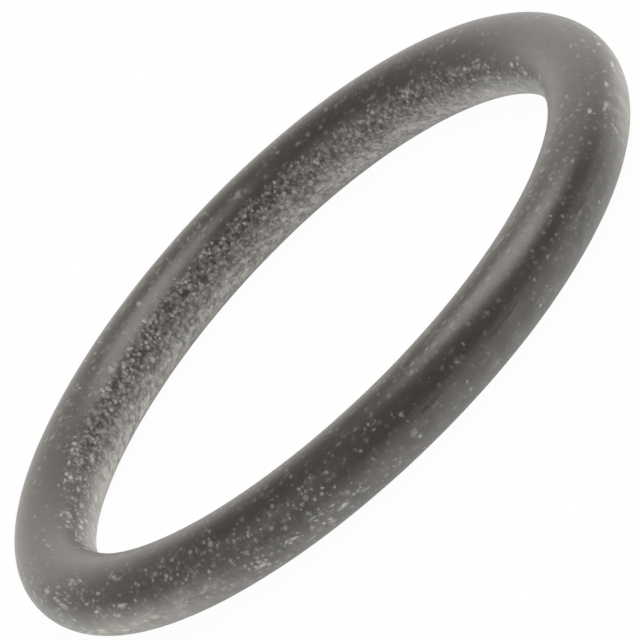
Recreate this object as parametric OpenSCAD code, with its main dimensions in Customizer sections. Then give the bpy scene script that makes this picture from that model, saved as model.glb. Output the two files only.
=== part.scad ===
// A round-section sealing ring, moulded in one piece of rubber and lying flat.
// The origin is the ring's centre, on the plane where the two halves of the mould met,
// and +Z is the ring's own axis. All sizes are in millimetres, with the rubber free and unstretched.

/* [Ring] */
// Inside diameter of the free ring, measured on the round section
inside_d = 20.29; // [5:0.01:60]
// Diameter of the round section
section_d = 2.62; // [1.5:0.01:7]

/* [Parting line] */
// Height of the trimmed line of flash above the round section
flash_h = 0.02; // [0.01:0.01:0.1]
// Width of the flat crown that trimming leaves on that line
flash_crown_w = 0.08; // [0.05:0.01:0.2]
// Slope of the flash line's flanks, from the crown down to the round section
flash_flank_angle = 45; // [45:5:80]

/* [Hidden] */

// Steps around the ring and around its section
ring_steps = 180;
section_steps = 72;
// How far the flanks run down from the crown, so that they end inside the rubber and the two are one solid
flash_root = 0.4;

section_r = section_d / 2;
// Radius of the circle that the section's centre follows
centreline_r = inside_d / 2 + section_r;

// The film of rubber that the mould's halves leave between them, cut off just outside the round section.
// Its crowns are flat, where a trimming tool ran round the ring, and its flanks slope down into the rubber.
module flash_profile() {
    crown = section_r + flash_h;
    half_crown = flash_crown_w / 2;
    half_film = half_crown + flash_root / tan(flash_flank_angle);
    foot = crown - flash_root;
    polygon([
        [crown, -half_crown],
        [crown, half_crown],
        [foot, half_film],
        [-foot, half_film],
        [-crown, half_crown],
        [-crown, -half_crown],
        [-foot, -half_film],
        [foot, -half_film],
    ]);
}

// The section of the rubber: a true circle, with the mould's parting line on its inside and its outside
module section_profile() {
    circle(r = section_r, $fn = section_steps);
    flash_profile();
}

// The whole ring, with its section turned about the ring's axis
module o_ring() {
    color([0.16, 0.15, 0.14])
        rotate_extrude($fn = ring_steps)
            translate([centreline_r, 0])
                section_profile();
}

o_ring();
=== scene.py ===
# %% [markdown]
# # A rubber o-ring with talc on it
# An o-ring is one plain ring of rubber with a round section. It was pressed between the two heated halves
# of a mould, so a fine line runs round it where they met, and pale grains of talc still cling to its skin.
# The lesson loads the ring's exact model, makes a finer ring of the same size over it, and then gives that
# ring a satin rubber skin, its talc, a white floor and soft studio light.

# %% Load the model of the ring
import math

import bmesh
import bpy
import numpy as np
from mathutils import Matrix, Vector


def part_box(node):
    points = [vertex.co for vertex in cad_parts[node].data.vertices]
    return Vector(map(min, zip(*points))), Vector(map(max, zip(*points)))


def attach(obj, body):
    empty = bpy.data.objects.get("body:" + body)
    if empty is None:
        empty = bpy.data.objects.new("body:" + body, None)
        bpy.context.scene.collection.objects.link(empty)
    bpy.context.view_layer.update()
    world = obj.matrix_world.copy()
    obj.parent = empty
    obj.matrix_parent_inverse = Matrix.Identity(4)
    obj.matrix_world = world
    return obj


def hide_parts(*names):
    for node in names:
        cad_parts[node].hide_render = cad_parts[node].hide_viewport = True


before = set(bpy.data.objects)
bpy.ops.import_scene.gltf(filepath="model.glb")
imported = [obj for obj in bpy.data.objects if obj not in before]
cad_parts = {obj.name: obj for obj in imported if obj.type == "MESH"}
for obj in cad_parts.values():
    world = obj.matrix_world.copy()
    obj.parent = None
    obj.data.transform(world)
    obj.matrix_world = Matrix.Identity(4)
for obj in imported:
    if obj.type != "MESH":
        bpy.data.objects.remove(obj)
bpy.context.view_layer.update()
bpy.ops.object.select_all(action="DESELECT")
print("nodes:", sorted(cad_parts))

# %% [markdown]
# Every size comes from the model, so that the new ring can't drift from it. The smallest and the largest
# circle of the model are the crowns of the mould line, inside and outside. The section's centre runs
# halfway between them, and most of the model's points lie one section radius away from it.
# Measuring is better here than typing numbers again, because the model may be changed later.

# %% Measure the ring
MM = 0.001
TOUCHING = 0.001 * MM

model_points = np.array([vertex.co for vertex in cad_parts["o_ring"].data.vertices])
model_radii = np.hypot(model_points[:, 0], model_points[:, 1])
inner_crown_r = float(model_radii.min())
outer_crown_r = float(model_radii.max())
centreline_r = (inner_crown_r + outer_crown_r) / 2
from_centreline = np.hypot(model_radii - centreline_r, model_points[:, 2])
section_r = float(np.median(from_centreline))
on_outer_crown = model_radii > outer_crown_r - TOUCHING
crown_half_w = float(np.abs(model_points[on_outer_crown, 2]).max())
print(f"centreline radius {centreline_r / MM:.3f} mm, section radius {section_r / MM:.3f} mm")
print(f"crown radii {inner_crown_r / MM:.3f} and {outer_crown_r / MM:.3f} mm")

# %% [markdown]
# The photograph was taken with a long lens from a low height, and the camera was turned on its own axis,
# so the ring lies across the picture from corner to corner. A short lens would make the near side thicker
# than the far side, which the photograph doesn't show. The distance follows from how many pixels the
# ring's centreline spans, so the ring has the same size in the picture as in the photograph.

# %% Place the camera
PHOTO_SIDE_PX = 640
CENTRELINE_RADIUS_PX = 359.5
RING_CENTRE_PX = (321.1, 319.5)
CAMERA_ELEVATION = math.radians(20.05)
CAMERA_ROLL = math.radians(-45.6)
LENS_MM = 1200
SENSOR_MM = 36


def place_camera():
    """Adds the camera on the -Y side, aimed at the ring's centre and rolled as in the photograph."""
    distance = LENS_MM / SENSOR_MM * PHOTO_SIDE_PX * centreline_r / CENTRELINE_RADIUS_PX
    towards_camera = Vector((0, -math.cos(CAMERA_ELEVATION), math.sin(CAMERA_ELEVATION)))
    aim = (-towards_camera).to_track_quat("-Z", "Y").to_matrix()
    bpy.ops.object.camera_add(location=towards_camera * distance)
    camera = bpy.context.object
    camera.name = "photo_camera"
    camera.rotation_euler = (aim @ Matrix.Rotation(CAMERA_ROLL, 3, "Z")).to_euler()
    camera.data.lens = LENS_MM
    camera.data.sensor_width = SENSOR_MM
    camera.data.clip_start = distance / 100
    camera.data.clip_end = distance * 10
    camera.data.shift_x = (PHOTO_SIDE_PX / 2 - RING_CENTRE_PX[0]) / PHOTO_SIDE_PX
    camera.data.shift_y = (RING_CENTRE_PX[1] - PHOTO_SIDE_PX / 2) / PHOTO_SIDE_PX
    bpy.context.scene.camera = camera
    return distance


print(f"camera distance {place_camera():.3f} m")

# %% [markdown]
# A mould gives the ring its form by turning one section round an axis, and the spin operator does the
# same. A torus primitive would be quicker, but it has no mould line. So the work starts from a flat circle
# that stands upright at the ring's radius. A few small helpers select points by their place, because an
# operator acts on whatever is selected.

# %% Draw the section's circle
SECTION_STEPS = 112


def select_points(wanted):
    """In edit mode, selects exactly the vertices whose place passes the test, and the edges between."""
    edited = bmesh.from_edit_mesh(bpy.context.object.data)
    for vertex in edited.verts:
        vertex.select = bool(wanted(vertex.co))
    edited.select_flush_mode()
    bmesh.update_edit_mesh(bpy.context.object.data)
    return [vertex.co.copy() for vertex in edited.verts if vertex.select]


bpy.ops.mesh.primitive_circle_add(
    vertices=SECTION_STEPS,
    radius=section_r,
    location=(centreline_r, 0, 0),
    rotation=(math.pi / 2, 0, 0),
)
ring = bpy.context.object
ring.name = "moulded_ring"
bpy.ops.object.transform_apply(location=True, rotation=True, scale=True)
print("section points:", len(ring.data.vertices))

# %% [markdown]
# Where the mould's halves met, a film of rubber was squeezed out and then trimmed off. What stays is a low
# ridge with a flat top, inside and outside. It is made from the circle's own points: the two short edges
# at each side are cut in half, and the three points in the middle are drawn out to the crown and flattened.

# %% Raise the mould line
step_h = section_r * math.sin(2 * math.pi / SECTION_STEPS)
FIRST_STEP = 1.1 * step_h
INSIDE_STEP = 0.9 * step_h


def raise_mould_line(side, crown_r):
    """Makes the ridge on one side of the section: side is 1 for outside the ring and -1 for inside."""

    def at_side(place):
        return side * (place.x - centreline_r) > 0 and abs(place.z) < FIRST_STEP

    def at_crown(place):
        return side * (place.x - centreline_r) > 0 and abs(place.z) < INSIDE_STEP

    select_points(at_side)
    bpy.ops.mesh.subdivide(number_cuts=1)
    crown = select_points(at_crown)
    widest = max(place.z for place in crown)
    middle_x = sum(place.x for place in crown) / len(crown)
    bpy.ops.transform.resize(
        value=(0, 1, crown_half_w / widest),
        center_override=(middle_x, 0, 0),
    )
    bpy.ops.transform.translate(value=(crown_r - middle_x, 0, 0))
    return len(crown)


bpy.ops.object.mode_set(mode="EDIT")
print("points on the outer crown:", raise_mould_line(1, outer_crown_r))
print("points on the inner crown:", raise_mould_line(-1, inner_crown_r))

# %% [markdown]
# Now the section is spun once round the ring's axis. The last step falls on the first one, so the doubled
# points are merged, and only then are the normals recalculated, because a spin can turn a shape inside
# out. The number of steps keeps the faces nearly square and the piece well under 200,000 triangles.

# %% Spin the section into a ring
RING_STEPS = 760
MERGE = 0.002 * MM

bpy.ops.mesh.select_all(action="SELECT")
bpy.ops.mesh.spin(steps=RING_STEPS, angle=2 * math.pi, center=(0, 0, 0), axis=(0, 0, 1))
bpy.ops.mesh.select_all(action="SELECT")
bpy.ops.mesh.remove_doubles(threshold=MERGE)
bpy.ops.mesh.normals_make_consistent(inside=False)
bpy.ops.object.mode_set(mode="OBJECT")
print("faces:", len(ring.data.polygons))

# %% [markdown]
# A trimming tool never cuts the film to the same height all the way, and moulded rubber is never quite
# even. Two Displace modifiers with cloud textures do both: one lowers the crowns here and there, held to
# them by a vertex group, and the other moves the whole skin by a few thousandths of a millimetre, which
# makes the long highlights waver a little. Both are applied, so the mesh keeps them.

# %% Make the trimming and the skin uneven
TRIM_DEPTH = 2.0 * (outer_crown_r - centreline_r - section_r)
TRIM_PATCH = 0.9 * MM
SKIN_WAVE_H = 0.010 * MM
SKIN_WAVE = 1.6 * MM


def cloud_texture(name, size):
    """A soft random pattern whose patches are about this wide."""
    texture = bpy.data.textures.new(name, "CLOUDS")
    texture.noise_scale = size
    texture.noise_depth = 1
    return texture


def displace(name, texture, strength, mid_level, group=""):
    """Moves the ring's points along their normals by a texture, and applies it."""
    modifier = ring.modifiers.new(name, "DISPLACE")
    modifier.texture = texture
    modifier.texture_coords = "LOCAL"
    modifier.direction = "NORMAL"
    modifier.strength = strength
    modifier.mid_level = mid_level
    modifier.vertex_group = group
    bpy.context.view_layer.objects.active = ring
    bpy.ops.object.modifier_apply(modifier=name)


places = np.array([vertex.co for vertex in ring.data.vertices])
from_centreline = np.abs(np.hypot(places[:, 0], places[:, 1]) - centreline_r)
crown_points = np.flatnonzero(from_centreline > section_r + TOUCHING)
crown_group = ring.vertex_groups.new(name="crowns")
crown_group.add(crown_points.tolist(), 1.0, "REPLACE")
displace("trimming", cloud_texture("trimming", TRIM_PATCH), TRIM_DEPTH, 1.0, "crowns")
displace("skin", cloud_texture("skin", SKIN_WAVE), SKIN_WAVE_H, 0.5)
print("crown points:", len(crown_points))

# %% [markdown]
# A soft ring never lies quite round either. The photograph's outline isn't that of a true ring, and one that
# bulges in three directions by about one percent of its radius fits it better. A ring that is slightly
# warped out of its plane would fit about as well, so this is a choice. A lattice could make the bulges, but
# one cosine says it more clearly: each point moves straight out or in by its angle round the ring.

# %% Let the ring lie a little out of round
BULGE = 0.138 * MM
BULGE_ANGLE = math.radians(68.7)
BULGES = 3


def lie_out_of_round(obj):
    """Moves every point outwards or inwards by the ring's three soft bulges."""
    places = np.array([vertex.co for vertex in obj.data.vertices])
    radii = np.hypot(places[:, 0], places[:, 1])
    angles = np.arctan2(places[:, 1], places[:, 0])
    moved = radii + BULGE * np.cos(BULGES * (angles - BULGE_ANGLE))
    places[:, 0] *= moved / radii
    places[:, 1] *= moved / radii
    obj.data.vertices.foreach_set("co", places.ravel())
    obj.data.update()
    return moved


reach = lie_out_of_round(ring)
print(f"the ring now reaches from {reach.min() / MM:.3f} to {reach.max() / MM:.3f} mm")

# %% [markdown]
# Rubber rounds every corner a little, even those of the mould line, so the whole skin is shaded smooth. The
# angle only guards against a fold. Then the ring takes the place of the model's plain node.

# %% Finish the mesh and put it in the model's place
CREASE_ANGLE = math.radians(60)

ring.select_set(True)
bpy.context.view_layer.objects.active = ring
bpy.ops.object.shade_smooth_by_angle(angle=CREASE_ANGLE)
bpy.ops.object.vertex_group_remove(all=True)
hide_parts("o_ring")
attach(ring, "root")
print("triangles:", sum(len(face.vertices) - 2 for face in ring.data.polygons))

# %% [markdown]
# Materials are built from nodes, and a long chain of nodes is easier to read as a sum. These helpers make
# a node, connect what is a socket, fill in what is a number, and hand back the output.

# %% Helpers for writing nodes as sums


def feed(tree, target, source):
    """Links a socket to an input, or writes a plain value into it."""
    if isinstance(source, bpy.types.NodeSocket):
        tree.links.new(source, target)
    else:
        target.default_value = source


def add_node(tree, kind, **settings):
    """Adds a node of this kind with these settings."""
    node = tree.nodes.new(kind)
    for name, value in settings.items():
        setattr(node, name, value)
    return node


def calc(tree, operation, *values):
    """One Math node. Gives its output."""
    node = add_node(tree, "ShaderNodeMath", operation=operation)
    for target, value in zip(node.inputs, values):
        feed(tree, target, value)
    return node.outputs[0]


def product(tree, first, *others):
    """All these values multiplied, by one Math node after another."""
    for other in others:
        first = calc(tree, "MULTIPLY", first, other)
    return first


def largest(tree, first, *others):
    """The largest of all these values."""
    for other in others:
        first = calc(tree, "MAXIMUM", first, other)
    return first


def vector_calc(tree, operation, *values, output="Vector"):
    """One Vector Math node. Gives the output of this name."""
    node = add_node(tree, "ShaderNodeVectorMath", operation=operation)
    for target, value in zip(node.inputs, values):
        feed(tree, target, value)
    return node.outputs[output]


def ramp(tree, value, low, high, start=0.0, end=1.0):
    """Turns a value between low and high into a smooth step from start to end."""
    node = add_node(tree, "ShaderNodeMapRange", interpolation_type="SMOOTHSTEP")
    for name, source in zip(node.inputs.keys()[:5], (value, low, high, start, end)):
        feed(tree, node.inputs[name], source)
    return node.outputs["Result"]


def mix_colour(tree, factor, first, second):
    """Mixes two colours by a factor."""
    node = add_node(tree, "ShaderNodeMix", data_type="RGBA")
    feed(tree, node.inputs["Factor"], factor)
    feed(tree, node.inputs[6], first)
    feed(tree, node.inputs[7], second)
    return node.outputs[2]


def scaled(tree, vector, factor):
    """A vector times a number."""
    node = add_node(tree, "ShaderNodeVectorMath", operation="SCALE")
    feed(tree, node.inputs[0], vector)
    feed(tree, node.inputs["Scale"], factor)
    return node.outputs[0]


# %% [markdown]
# Nothing on real rubber is even, so most masks are broken up by noise. One helper gives soft noise whose
# patches have a stated size. Another uses the same texture's colours, which are three noises in one, to push
# a place about a little. What is drawn at the pushed place then has a ragged outline.

# %% Helpers for noise


def noise_node(tree, place, size, detail):
    """A noise texture with patches of about this size, in the units of the place."""
    node = add_node(tree, "ShaderNodeTexNoise")
    feed(tree, node.inputs["Vector"], place)
    node.inputs["Scale"].default_value = 1 / size
    node.inputs["Detail"].default_value = detail
    return node


def noise(tree, place, size, detail=2.0):
    """Soft noise between 0 and 1."""
    return noise_node(tree, place, size, detail).outputs[0]


def shaken(tree, place, size, reach):
    """Moves a place about at random by up to this reach, so that a round outline turns ragged."""
    colours = noise_node(tree, place, size, 1.0).outputs["Color"]
    shift = vector_calc(tree, "SUBTRACT", colours, (0.5, 0.5, 0.5))
    return vector_calc(tree, "ADD", place, scaled(tree, shift, calc(tree, "MULTIPLY", reach, 2.0)))


# %% [markdown]
# Talc lies on the ring as single grains, in some places scattered and in others nearly touching. Painting
# them as an image would blur them close up, so they are found by rule: a Voronoi texture fills space with
# random points, and a small ball round some of these points is a grain wherever it cuts the skin. The
# texture also gives each point a random colour. Its red says whether the grain is kept, its green how large
# it is and its blue how strong. The same rule makes coarse grains and fine ones, dashes, specks and dabs, so
# it is a node group with its own inputs.

# %% The node group for talc grains
RAGGED_SIZE = 0.09
RAGGED_REACH = 0.4
SMALLEST = 0.5
SOFT_CORE = 0.05
FAINTEST = 0.22
STRONGER = 0.55


def talc_group():
    """Builds the group from a place in millimetres, the grains' spacing and radius, and the share kept."""
    group = bpy.data.node_groups.new("Talc grains", "ShaderNodeTree")
    for name, kind, value in (
        ("Place", "NodeSocketVector", None),
        ("Spacing", "NodeSocketFloat", 0.2),
        ("Grain radius", "NodeSocketFloat", 0.04),
        ("Share", "NodeSocketFloat", 0.5),
    ):
        socket = group.interface.new_socket(name=name, in_out="INPUT", socket_type=kind)
        if value is not None:
            socket.default_value = value
    group.interface.new_socket(name="Grains", in_out="OUTPUT", socket_type="NodeSocketFloat")
    given = group.nodes.new("NodeGroupInput").outputs
    result = group.nodes.new("NodeGroupOutput").inputs

    points = add_node(group, "ShaderNodeTexVoronoi", feature="F1")
    push = calc(group, "MULTIPLY", given["Grain radius"], RAGGED_REACH)
    feed(group, points.inputs["Vector"], shaken(group, given["Place"], RAGGED_SIZE, push))
    feed(group, points.inputs["Scale"], calc(group, "DIVIDE", 1.0, given["Spacing"]))
    chance = add_node(group, "ShaderNodeSeparateColor")
    feed(group, chance.inputs[0], points.outputs["Color"])
    kept = calc(group, "LESS_THAN", chance.outputs[0], given["Share"])
    size = calc(group, "MULTIPLY_ADD", chance.outputs[1], 1 - SMALLEST, SMALLEST)
    reach = calc(group, "DIVIDE", calc(group, "MULTIPLY", size, given["Grain radius"]), given["Spacing"])
    grain = ramp(group, calc(group, "DIVIDE", points.outputs["Distance"], reach), 1.0, SOFT_CORE)
    strength = calc(group, "MULTIPLY_ADD", chance.outputs[2], STRONGER, FAINTEST)
    feed(group, result["Grains"], product(group, grain, kept, strength))
    return group


TALC = talc_group()
print("nodes in the talc group:", len(TALC.nodes))


def talc(tree, place, grains, share):
    """Places the group in a material, with grains of this spacing and radius. Gives its mask."""
    spacing, radius = grains
    node = add_node(tree, "ShaderNodeGroup", node_tree=TALC)
    feed(tree, node.inputs["Place"], place)
    feed(tree, node.inputs["Spacing"], spacing)
    feed(tree, node.inputs["Grain radius"], radius)
    feed(tree, node.inputs["Share"], share)
    return node.outputs["Grains"]


# %% [markdown]
# The talc is thick on the ring's inner wall, thin on the outside, thicker there at one end, and nearly
# rubbed off along the top. To follow that, the material has to know where on the ring it is. It works that
# out from Object coordinates: how far a point lies outwards or inwards of the section's centre, how far up
# or down, and how far round the ring. An arc of the ring is given by three angles in degrees: its middle,
# and how far from the middle it is still full and where it has faded.

# %% Find the place on the ring
DRAWN_OUT = 5
STRETCHED = 2.2
END_FULL = math.cos(math.radians(18))
END_GONE = math.cos(math.radians(42))


def ring_place(tree):
    """Gives the place in millimetres, two that are drawn out along the ring, and directions on the ring."""
    metres = add_node(tree, "ShaderNodeTexCoord").outputs["Object"]
    place = scaled(tree, metres, 1 / MM)
    x, y, z = add_node(tree, "ShaderNodeSeparateXYZ").outputs
    feed(tree, x.node.inputs[0], place)
    radius = calc(tree, "SQRT", calc(tree, "MULTIPLY_ADD", x, x, calc(tree, "MULTIPLY", y, y)))
    out = calc(tree, "SUBTRACT", radius, centreline_r / MM)
    section = calc(tree, "SQRT", calc(tree, "MULTIPLY_ADD", out, out, calc(tree, "MULTIPLY", z, z)))
    angle = calc(tree, "ABSOLUTE", calc(tree, "ARCTAN2", y, x))
    along = calc(tree, "MULTIPLY", angle, centreline_r / MM / DRAWN_OUT)
    drawn_out = add_node(tree, "ShaderNodeCombineXYZ")
    for target, source in zip(drawn_out.inputs, (radius, z, along)):
        feed(tree, target, source)
    cosine = calc(tree, "DIVIDE", x, radius)
    return {
        "place": place,
        "drawn_out": drawn_out.outputs[0],
        "stretched": vector_calc(tree, "MULTIPLY", drawn_out.outputs[0], (1, 1, DRAWN_OUT / STRETCHED)),
        "outward": calc(tree, "DIVIDE", out, section),
        "upward": calc(tree, "DIVIDE", z, section),
        "height": calc(tree, "ABSOLUTE", z),
        "x": cosine,
        "y": calc(tree, "DIVIDE", y, radius),
        "end": ramp(tree, calc(tree, "ABSOLUTE", cosine), END_GONE, END_FULL),
    }


def away_from_ends(tree, spot, drop):
    """1 along the ring, and less by this drop at its two ends."""
    return calc(tree, "MULTIPLY_ADD", spot["end"], -drop, 1.0)


def on_arc(tree, spot, arc):
    """1 on this arc of the ring, fading to 0 on both sides of it."""
    middle, full, gone = (math.radians(angle) for angle in arc)
    across = calc(tree, "MULTIPLY", spot["y"], math.sin(middle))
    nearness = calc(tree, "MULTIPLY_ADD", spot["x"], math.cos(middle), across)
    return ramp(tree, nearness, math.cos(gone), math.cos(full))


# %% [markdown]
# Masks say where the talc is. On the inner wall it is thick, from a ragged upper edge down to the floor. On
# the outer wall it lies in loose patches, most of them at the ring's left end, and in one small clump below
# the mould line. A few grains are left along the top of the far side. Patches are sized in millimetres.

# %% Say where grains lie
LEFT_END = (214, 14, 58)
RIGHT_END = (2, 14, 50)
FAR_SIDE = (88, 30, 58)
CLUMP = (247, 5, 18)
GRAIN_PATCH = 0.8
INNER_SHARE = 0.68
LEFT_GRAINS = 0.44
RIGHT_GRAINS = 0.14
OUTER_GRAINS = 0.035
CLUMP_GRAINS = 0.5
TOP_GRAINS = 0.12
STRAY_GRAINS = 0.02


def grain_places(tree, spot):
    """Gives the inner wall, the loose patches on the outer wall, and the share of grains at each place."""
    patches = noise(tree, spot["place"], GRAIN_PATCH)
    inward = calc(tree, "MULTIPLY", spot["outward"], -1.0)
    low_inward = calc(tree, "MULTIPLY_ADD", spot["upward"], -0.30, inward)
    inner = ramp(tree, calc(tree, "MULTIPLY_ADD", patches, 0.40, low_inward), 0.66, 1.0)
    right = calc(tree, "MULTIPLY_ADD", on_arc(tree, spot, RIGHT_END), RIGHT_GRAINS, OUTER_GRAINS)
    ends = calc(tree, "MULTIPLY_ADD", on_arc(tree, spot, LEFT_END), LEFT_GRAINS, right)
    in_patches = ramp(tree, patches, 0.32, 0.68, 0.25, 1.6)
    loose = product(tree, ends, in_patches, ramp(tree, spot["outward"], 0.20, 0.75))
    below = ramp(tree, spot["upward"], 0.05, -0.15, 0.0, CLUMP_GRAINS)
    clump = product(tree, on_arc(tree, spot, CLUMP), below, ramp(tree, spot["outward"], 0.5, 0.8))
    outer = calc(tree, "MAXIMUM", loose, clump)
    on_top = ramp(tree, spot["upward"], 0.75, 0.95, 0.0, TOP_GRAINS)
    kept_on_top = calc(tree, "MULTIPLY", on_arc(tree, spot, FAR_SIDE), on_top)
    thick = calc(tree, "MULTIPLY", inner, INNER_SHARE)
    return inner, outer, largest(tree, kept_on_top, STRAY_GRAINS, outer, thick)


# %% [markdown]
# Between the grains lies a bloom: talc and wax in a film too thin to see as grains. The same pale film
# also holds a painted reflection of the white floor: it makes the rubber paler below the mould line, and
# palest low on the inner wall and at the two ends, where the skin faces the floor or is seen at a low
# angle. Soft clouds break it up. At the ends the camera looks along the inner wall, so round clouds would
# close up into stripes, and clouds that are drawn out along the ring take their place.

# %% Say where the bloom and its painted reflection lie
# The bloom strengths below are partly talc film and partly a painted reflection of the white floor.
INNER_BLOOM_AND_REFLECTION = 0.70
LINE_BLOOM_AND_REFLECTION = 0.085
OUTER_BLOOM_AND_REFLECTION = 0.26
END_BLOOM_AND_REFLECTION = 0.60
LEAST_BLOOM = 0.02
LEFT_SHARE = 0.80
FAR_MIDDLE = (88, 14, 66)
PALE_LEFT = (196, 6, 45)
PALE_RIGHT = (352, 6, 34)
ROUND_CLOUD = 0.32
LONG_CLOUD = 0.45
OUTER_CLOUD = 0.70


def inner_film_and_reflection(tree, spot, inner, down):
    """The talc film on the inner wall with a painted floor reflection: palest near the floor and towards the
    ring's two ends, in soft clouds.
    """
    # painted floor reflection with the talc film: paler towards the floor on the inner wall
    low = calc(tree, "MULTIPLY", ramp(tree, down, -0.15, 0.75, 0.04, INNER_BLOOM_AND_REFLECTION), inner)
    # painted reflection too: paler towards the two ends, where the inner wall is seen at a low angle
    towards_ends = calc(tree, "MULTIPLY_ADD", on_arc(tree, spot, FAR_MIDDLE), -0.70, 1.48)
    round_clouds = noise(tree, spot["place"], ROUND_CLOUD, 2.0)
    long_clouds = noise(tree, spot["stretched"], LONG_CLOUD, 1.0)
    longer = calc(tree, "SUBTRACT", long_clouds, round_clouds)
    clouds = calc(tree, "MULTIPLY_ADD", longer, spot["end"], round_clouds)
    between = calc(tree, "MULTIPLY_ADD", spot["end"], 0.38, 0.40)
    clouds = ramp(tree, clouds, 0.36, 0.64, between, 1.42)
    return product(tree, clouds, towards_ends, low)


def outer_film_and_reflection(tree, spot, down):
    """The talc film on the outside with a painted floor reflection: faint below the mould line, and pale at
    the ring's two ends.
    """
    # painted floor reflection with the talc film: paler below the mould line and further down
    below_line = ramp(tree, down, -0.08, 0.10, 0.02, LINE_BLOOM_AND_REFLECTION)
    low = calc(tree, "ADD", below_line, ramp(tree, down, 0.05, 0.80, 0.0, OUTER_BLOOM_AND_REFLECTION - LINE_BLOOM_AND_REFLECTION))
    left = calc(tree, "MULTIPLY", on_arc(tree, spot, PALE_LEFT), LEFT_SHARE)
    ends = calc(tree, "MAXIMUM", left, on_arc(tree, spot, PALE_RIGHT))
    # painted reflection with the talc film: pale at the two ends, where the skin is seen at a low angle
    at_ends = calc(tree, "MULTIPLY", ends, ramp(tree, down, -0.6, 0.25, 0.0, END_BLOOM_AND_REFLECTION))
    film_and_reflection = calc(tree, "ADD", low, at_ends)
    film_and_reflection = calc(tree, "MULTIPLY", film_and_reflection, ramp(tree, spot["outward"], 0.0, 0.5))
    clouds = ramp(tree, noise(tree, spot["place"], OUTER_CLOUD, 3.0), 0.30, 0.70, 0.70, 1.30)
    return calc(tree, "MULTIPLY", calc(tree, "MAXIMUM", film_and_reflection, LEAST_BLOOM), clouds)


# %% [markdown]
# The film isn't smooth. Faint round specks lie in it nearly everywhere, and short dashes run along the ring
# where its top was rubbed. Both are the talc group again, with wide, soft grains. Each kind of grain is
# given by two numbers in millimetres, its spacing and its radius. The last function adds up all of the film
# with its painted reflection.

# %% Break up the bloom
SPECKS = (0.22, 0.15)
SPECKS_PATCH = 0.7
SPECKS_BLOOM = 0.27
DASHES = (0.19, 0.12)
DASHES_BLOOM = 0.36
RUBBED_NEAR = (302, 14, 38)
RUBBED_FAR = (128, 14, 36)
RUBBED_SHARE = 0.7
DASHES_SHARE = 0.13


def rubbed_film(tree, spot):
    """Round specks nearly everywhere, and short dashes where the top was rubbed."""
    specked = ramp(tree, noise(tree, spot["place"], SPECKS_PATCH, 1.0), 0.40, 0.62, 0.20, 0.85)
    specked = calc(tree, "MULTIPLY", specked, away_from_ends(tree, spot, 0.85))
    specks = talc(tree, spot["place"], SPECKS, specked)
    rubbed = calc(tree, "MAXIMUM", on_arc(tree, spot, RUBBED_NEAR), on_arc(tree, spot, RUBBED_FAR))
    on_top = ramp(tree, spot["upward"], 0.70, 0.85, 0.0, RUBBED_SHARE)
    dashed = calc(tree, "MULTIPLY_ADD", rubbed, on_top, DASHES_SHARE)
    dashes = talc(tree, spot["stretched"], DASHES, dashed)
    return calc(tree, "MULTIPLY_ADD", specks, SPECKS_BLOOM, calc(tree, "MULTIPLY", dashes, DASHES_BLOOM))


def bloom_and_reflection_places(tree, spot, inner):
    """Gives how much of the pale film, talc and painted floor reflection together, is at each place."""
    down = calc(tree, "MULTIPLY", spot["upward"], -1.0)
    film_and_reflection = calc(tree, "MAXIMUM", inner_film_and_reflection(tree, spot, inner, down), outer_film_and_reflection(tree, spot, down))
    return calc(tree, "ADD", film_and_reflection, rubbed_film(tree, spot))


# %% [markdown]
# The talc itself comes in several forms. A coat of fine grains lies on the inner wall and reads as a mottle,
# and it gives way to larger soft dabs near the floor. On the outside, at one end, talc is smeared into
# dashes along the ring. The mould line catches a little too. These quieter forms come first.

# %% Lay the fine talc
FINE_GRAINS = (0.15, 0.12)
FINE_SHARE = 0.85
FINE_STRENGTH = 0.80
FINE_OUTSIDE = 0.45
MOTTLE_SIZE = 0.16
MOTTLE = 0.24
TALC_PATCH = 0.5
SMEARS = (0.24, 0.16)
SMEARED = (224, 25, 42)
SMEAR_STRENGTH = 1.3
DABS = (0.40, 0.34)
DAB_SHARE = 0.8
DAB_STRENGTH = 1.25
LINE_PATCH = 0.16
LINE_TALC = 0.08


def fine_coat(tree, spot, inner, outer):
    """The mottled coat of fine talc between the grains, which thins out towards the floor."""
    thick = calc(tree, "MAXIMUM", inner, calc(tree, "MULTIPLY", outer, FINE_OUTSIDE))
    fine = talc(tree, spot["place"], FINE_GRAINS, calc(tree, "MULTIPLY", thick, FINE_SHARE))
    mottle = ramp(tree, noise(tree, spot["place"], MOTTLE_SIZE, 1.0), 0.38, 0.74, 0.0, MOTTLE)
    coat = calc(tree, "MULTIPLY_ADD", fine, FINE_STRENGTH, calc(tree, "MULTIPLY", mottle, thick))
    thinned = ramp(tree, spot["upward"], -0.85, -0.40, 0.30, 1.0)
    return product(tree, coat, away_from_ends(tree, spot, 0.72), thinned)


def smears_and_dabs(tree, spot, inner):
    """Dashes smeared along the outside at one end, and soft dabs low on the inner wall."""
    patches = ramp(tree, noise(tree, spot["place"], TALC_PATCH, 1.0), 0.42, 0.62, 0.10, 0.75)
    below = ramp(tree, spot["upward"], 0.0, -0.12)
    outside = ramp(tree, spot["outward"], 0.3, 0.6)
    smeared = product(tree, on_arc(tree, spot, SMEARED), patches, below, outside)
    smears = talc(tree, spot["stretched"], SMEARS, smeared)
    low_inner = calc(tree, "MULTIPLY", inner, ramp(tree, spot["upward"], -0.3, -0.6, 0.0, DAB_SHARE))
    dabs = talc(tree, spot["place"], DABS, calc(tree, "MULTIPLY", low_inner, patches))
    dabs = product(tree, away_from_ends(tree, spot, 0.9), DAB_STRENGTH, dabs)
    return calc(tree, "MAXIMUM", calc(tree, "MULTIPLY", smears, SMEAR_STRENGTH), dabs)


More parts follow.
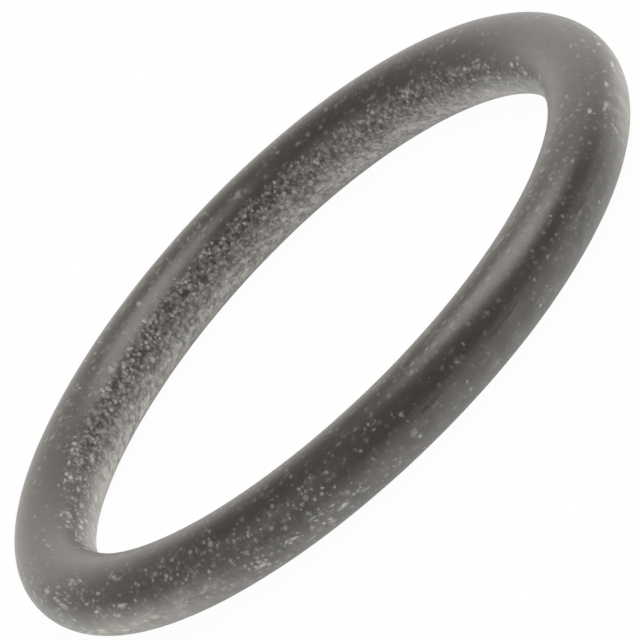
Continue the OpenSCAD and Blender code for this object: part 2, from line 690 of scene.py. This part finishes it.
def dusted_line(tree, spot):
    """The mould line on the outside, which catches a little talc here and there."""
    caught = ramp(tree, noise(tree, spot["drawn_out"], LINE_PATCH, 2.0), 0.52, 0.66, 0.0, LINE_TALC)
    at_line = ramp(tree, spot["height"], 0.055, 0.020)
    return product(tree, caught, at_line, ramp(tree, spot["outward"], 0.5, 0.9))


# %% [markdown]
# The coarse grains stand out most. They come in three sizes, round along the ring's sides and longer at its
# two ends, with a few thin dashes among them. One mask joins every form of talc by taking the largest value
# at each place, because grains that overlap don't turn any whiter than talc is.

# %% Lay the coarse talc
GRAIN_LAYERS = ((0.50, 0.20), (0.29, 0.150), (0.19, 0.110))
END_LAYERS = ((0.36, 0.175), (0.25, 0.140), (0.17, 0.100))
END_DENSITY = 1.3
END_GAIN = 0.35
THIN_DASHES = (0.17, 0.040)
THIN_SHARE = 0.8
THIN_STRENGTH = 0.7


def all_talc(tree, spot, inner, outer, share):
    """Every form of talc in one mask, strongest low on the ring and faintest on top."""
    along = calc(tree, "MULTIPLY", share, away_from_ends(tree, spot, 1.0))
    at_ends = product(tree, share, spot["end"], END_DENSITY)
    thin = talc(tree, spot["drawn_out"], THIN_DASHES, calc(tree, "MULTIPLY", share, THIN_SHARE))
    mask = largest(
        tree,
        fine_coat(tree, spot, inner, outer),
        *(talc(tree, spot["place"], grains, along) for grains in GRAIN_LAYERS),
        *(talc(tree, spot["stretched"], grains, at_ends) for grains in END_LAYERS),
        calc(tree, "MULTIPLY", thin, THIN_STRENGTH),
        smears_and_dabs(tree, spot, inner),
        dusted_line(tree, spot),
    )
    stronger_low = ramp(tree, spot["upward"], -0.6, -0.1, 1.35, 0.80)
    fainter_on_top = ramp(tree, spot["upward"], 0.45, 0.85, 1.0, 0.6)
    return product(tree, mask, away_from_ends(tree, spot, -END_GAIN), stronger_low, fainter_on_top)


# %% [markdown]
# The rubber is a warm near-black with a satin skin. Its look comes from layers: the rubber itself, the
# bloom with a painted reflection of the white floor, the talc, and faint marks along the ring from moulding
# and handling. The bloom and its painted reflection change colour and roughness, the marks change roughness
# and height, and the talc changes all three, as on the real skin. A little sheen stands for the dust that
# lights up where the skin is seen at a low angle. The two heights are in millimetres.

# %% Make the rubber's material
RUBBER = (0.040, 0.033, 0.027, 1)
# pale colour of the talc film, also used for the painted floor reflection
BLOOM_AND_REFLECTION = (0.66, 0.646, 0.622, 1)
TALC_COLOUR = (0.88, 0.868, 0.845, 1)
SPECULAR = 0.85
SHEEN = 0.30
SHEEN_ROUGHNESS = 0.35
MARK_WIDTH = 0.10
ROUGHNESS = 0.28
MARKS_ROUGHER = 0.14
BLOOM_AND_REFLECTION_ROUGHER = 0.35
TALC_ROUGHER = 0.35
MARKS_H = 0.004
TALC_H = 0.012


def rubber_material():
    """Satin rubber with bloom and a painted floor reflection, talc and faint marks along the ring."""
    material = bpy.data.materials.new("satin_rubber")
    material.use_nodes = True
    tree = material.node_tree
    shader = tree.nodes["Principled BSDF"]
    shader.inputs["Specular IOR Level"].default_value = SPECULAR
    shader.inputs["Sheen Weight"].default_value = SHEEN
    shader.inputs["Sheen Roughness"].default_value = SHEEN_ROUGHNESS
    spot = ring_place(tree)
    inner, outer, share = grain_places(tree, spot)
    bloom_and_reflection = bloom_and_reflection_places(tree, spot, inner)
    grains = all_talc(tree, spot, inner, outer, share)
    marks = noise(tree, spot["drawn_out"], MARK_WIDTH, 3.0)

    # paints the talc film and a painted reflection of the floor into the rubber's colour
    skin = mix_colour(tree, bloom_and_reflection, RUBBER, BLOOM_AND_REFLECTION)
    feed(tree, shader.inputs["Base Color"], mix_colour(tree, grains, skin, TALC_COLOUR))
    rough = calc(tree, "MULTIPLY_ADD", marks, MARKS_ROUGHER, ROUGHNESS)
    rough = calc(tree, "MULTIPLY_ADD", bloom_and_reflection, BLOOM_AND_REFLECTION_ROUGHER, rough)
    feed(tree, shader.inputs["Roughness"], calc(tree, "MULTIPLY_ADD", grains, TALC_ROUGHER, rough))

    height = calc(tree, "MULTIPLY_ADD", marks, MARKS_H, calc(tree, "MULTIPLY", grains, TALC_H))
    bump = add_node(tree, "ShaderNodeBump")
    bump.inputs["Strength"].default_value = 1.0
    bump.inputs["Distance"].default_value = MM
    feed(tree, bump.inputs["Height"], height)
    feed(tree, shader.inputs["Normal"], bump.outputs["Normal"])
    return material


ring.data.materials.clear()
ring.data.materials.append(rubber_material())
print("material nodes:", len(ring.data.materials[0].node_tree.nodes))

# %% [markdown]
# The ring lies on a plain floor that the photograph shows as pure white. The floor is a matt white surface,
# but where the camera, a reflection or glass looks at it, nearly all that it shows is an even white glow,
# and the little that stays matt keeps a trace of the ring's soft shadow. Seen from below it is clear, so
# the underside can be looked at too.

# %% Lay the floor
FLOOR_HALF = 1.5
GLOW_SHARE = 0.97
FLOOR_WHITE = (0.95, 0.95, 0.95, 1)


def seen_directly(tree):
    """1 where the camera, a mirror reflection or a ray through glass looks, and 0 for other light."""
    path = add_node(tree, "ShaderNodeLightPath").outputs
    either = calc(tree, "MAXIMUM", path["Is Camera Ray"], path["Is Glossy Ray"])
    return calc(tree, "MAXIMUM", either, path["Is Transmission Ray"])


def mix_shaders(tree, factor, first, second):
    """Mixes two shaders by a factor."""
    node = add_node(tree, "ShaderNodeMixShader")
    feed(tree, node.inputs[0], factor)
    feed(tree, node.inputs[1], first)
    feed(tree, node.inputs[2], second)
    return node.outputs[0]


def floor_material():
    """Matt white that glows for the eye alone, and is clear from below."""
    material = bpy.data.materials.new("white_floor")
    material.use_nodes = True
    tree = material.node_tree
    tree.nodes.remove(tree.nodes["Principled BSDF"])
    matt = add_node(tree, "ShaderNodeBsdfDiffuse")
    matt.inputs["Color"].default_value = FLOOR_WHITE
    glow = add_node(tree, "ShaderNodeEmission")
    clear = add_node(tree, "ShaderNodeBsdfTransparent")
    share = calc(tree, "MULTIPLY", seen_directly(tree), GLOW_SHARE)
    top = mix_shaders(tree, share, matt.outputs[0], glow.outputs[0])
    below = add_node(tree, "ShaderNodeNewGeometry").outputs["Backfacing"]
    both = mix_shaders(tree, below, top, clear.outputs[0])
    feed(tree, tree.nodes["Material Output"].inputs["Surface"], both)
    return material


bpy.ops.mesh.primitive_plane_add(size=2 * FLOOR_HALF, location=(0, 0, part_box("o_ring")[0].z))
floor = bpy.context.object
floor.name = "floor"
floor.data.materials.append(floor_material())
print(f"floor at a height of {floor.location.z / MM:.3f} mm")

# %% [markdown]
# Glossy black rubber shows its surroundings more than its own colour. In the photograph the room is dark
# behind the camera and bright all round the back, with a paler patch on the left, and one softbox hangs
# above, to the right. The world is that room: a dim light with three bright fields in it. Each is given by
# its azimuth from +X and its elevation, the degrees where it is full and where it ends, and how bright it
# is. An area lamp is the softbox. Both are a little warm.

# %% Light the ring
WARM_WHITE = (1.0, 0.972, 0.92)
ROOM_LIGHT = 0.18
BRIGHT_FIELDS = (
    (67, 8, 28, 60, 0.94),
    (-148, 28, 8, 34, 0.88),
    (138, 20, 12, 42, 0.50),
)
KEY_AZIMUTH = -4
KEY_ELEVATION = 63.5
KEY_DISTANCE = 0.30
KEY_SIZE = (0.20, 0.27)
KEY_TURN = -16
KEY_RADIANCE = 3.45


def direction_of(azimuth, elevation):
    """The unit vector towards this azimuth and elevation, in degrees."""
    azimuth, elevation = math.radians(azimuth), math.radians(elevation)
    level = math.cos(elevation)
    return Vector((level * math.cos(azimuth), level * math.sin(azimuth), math.sin(elevation)))


def light_world():
    """A dim room with bright fields, which is plain white to the camera and through glass."""
    world = bpy.data.worlds.new("studio")
    bpy.context.scene.world = world
    world.use_nodes = True
    tree = world.node_tree
    background = tree.nodes["Background"]
    direction = add_node(tree, "ShaderNodeTexCoord").outputs["Generated"]
    room = ROOM_LIGHT
    for azimuth, elevation, full, gone, radiance in BRIGHT_FIELDS:
        middle = tuple(direction_of(azimuth, elevation))
        facing = vector_calc(tree, "DOT_PRODUCT", direction, middle, output="Value")
        edge, inside = math.cos(math.radians(gone)), math.cos(math.radians(full))
        room = calc(tree, "ADD", ramp(tree, facing, edge, inside, 0.0, radiance), room)
    path = add_node(tree, "ShaderNodeLightPath").outputs
    seen = calc(tree, "MAXIMUM", path["Is Camera Ray"], path["Is Transmission Ray"])
    feed(tree, background.inputs["Color"], mix_colour(tree, seen, (*WARM_WHITE, 1), (1, 1, 1, 1)))
    feed(tree, background.inputs["Strength"], calc(tree, "MAXIMUM", room, seen))


def add_softbox(name, direction, distance, size, turn, radiance):
    """An oblong area lamp, aimed at the ring and turned, that shows this bright in a reflection."""
    bpy.ops.object.light_add(type="AREA", location=direction * distance)
    lamp = bpy.context.object
    lamp.name = name
    aim = direction.to_track_quat("Z", "Y").to_matrix()
    lamp.rotation_euler = (aim @ Matrix.Rotation(math.radians(turn), 3, "Z")).to_euler()
    lamp.data.shape = "RECTANGLE"
    lamp.data.size, lamp.data.size_y = size
    lamp.data.color = WARM_WHITE
    lamp.data.energy = radiance * math.pi * size[0] * size[1]
    lamp.visible_camera = False
    return lamp


light_world()
key_direction = direction_of(KEY_AZIMUTH, KEY_ELEVATION)
key = add_softbox("softbox", key_direction, KEY_DISTANCE, KEY_SIZE, KEY_TURN, KEY_RADIANCE)
print(f"softbox {key.data.energy:.2f} W")

# %% [markdown]
# The view transform is set to Standard, so that a colour shows as it is written.

# %% Set the view transform and finish
bpy.context.scene.view_settings.view_transform = "Standard"
bpy.context.view_layer.update()
